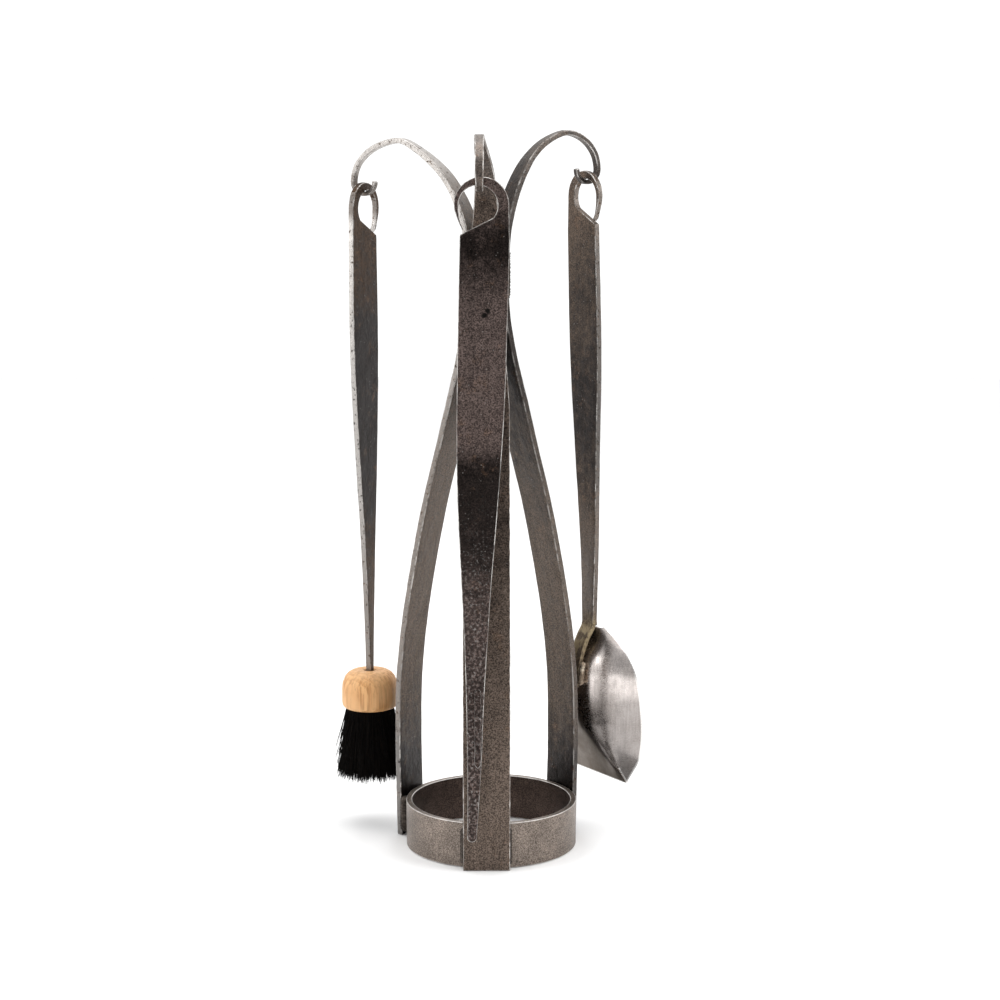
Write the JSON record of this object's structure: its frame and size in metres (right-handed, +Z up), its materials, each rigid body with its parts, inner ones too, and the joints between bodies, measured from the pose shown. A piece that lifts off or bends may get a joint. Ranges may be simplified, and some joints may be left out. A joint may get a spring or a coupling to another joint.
{
  "type": "fireplace tool set",
  "caption": "Forged flat-bar stand with curled hooks on a round base ring, holding a poker, a round hearth brush and a dished shovel.",
  "frame": {"origin": "on the floor, under the middle of the whole set's bounding box", "axes": "+Z up; -Y towards the poker's side of the stand, +X to the right seen from there"},
  "size_m": [0.2764, 0.2296, 0.6205],
  "materials": {
    "forged_bar": "dark waxed mill scale, brighter on worn edges",
    "weld_bead": "dark waxed weld",
    "pan_steel": "hand-planished and polished bright",
    "head_wood": "smooth turned, lightly oiled",
    "bristle_fibre": "black natural bristle, ragged ends"
  },
  "bodies": {
    "stand": {"leg_hook_front": "forged_bar", "leg_hook_left": "forged_bar", "leg_hook_right": "forged_bar", "base_ring": "forged_bar", "ring_seam_weld": "weld_bead", "ring_weld_front_a": "weld_bead", "ring_weld_front_b": "weld_bead", "ring_weld_left_a": "weld_bead", "ring_weld_left_b": "weld_bead", "ring_weld_right_a": "weld_bead", "ring_weld_right_b": "weld_bead", "neck_weld_rear": "weld_bead", "neck_weld_left": "weld_bead", "neck_weld_right": "weld_bead"},
    "poker": {"poker_bar": "forged_bar", "poker_barb": "forged_bar"},
    "brush": {"brush_handle": "forged_bar", "brush_head": "head_wood", "brush_bristles": "bristle_fibre"},
    "shovel": {"shovel_handle": "forged_bar", "shovel_pan": "pan_steel", "shovel_weld_a": "weld_bead", "shovel_weld_b": "weld_bead"}
  },
  "joints": [
    {"name": "poker_swing", "type": "hinge", "parent": "stand", "child": "poker", "pos_m": [-0.00616, -0.10011, 0.57811], "axis": [-1, -0.0087, 0], "range_deg": [-1.5, 25]},
    {"name": "brush_swing", "type": "hinge", "parent": "stand", "child": "brush", "pos_m": [-0.10717, 0.05869, 0.57161], "axis": [0.454, 0.891, 0], "range_deg": [-0.4, 25]},
    {"name": "shovel_swing", "type": "hinge", "parent": "stand", "child": "shovel", "pos_m": [0.08568, 0.06498, 0.58161], "axis": [0.5664, -0.8241, 0], "range_deg": [-0.2, 25]}
  ]
}
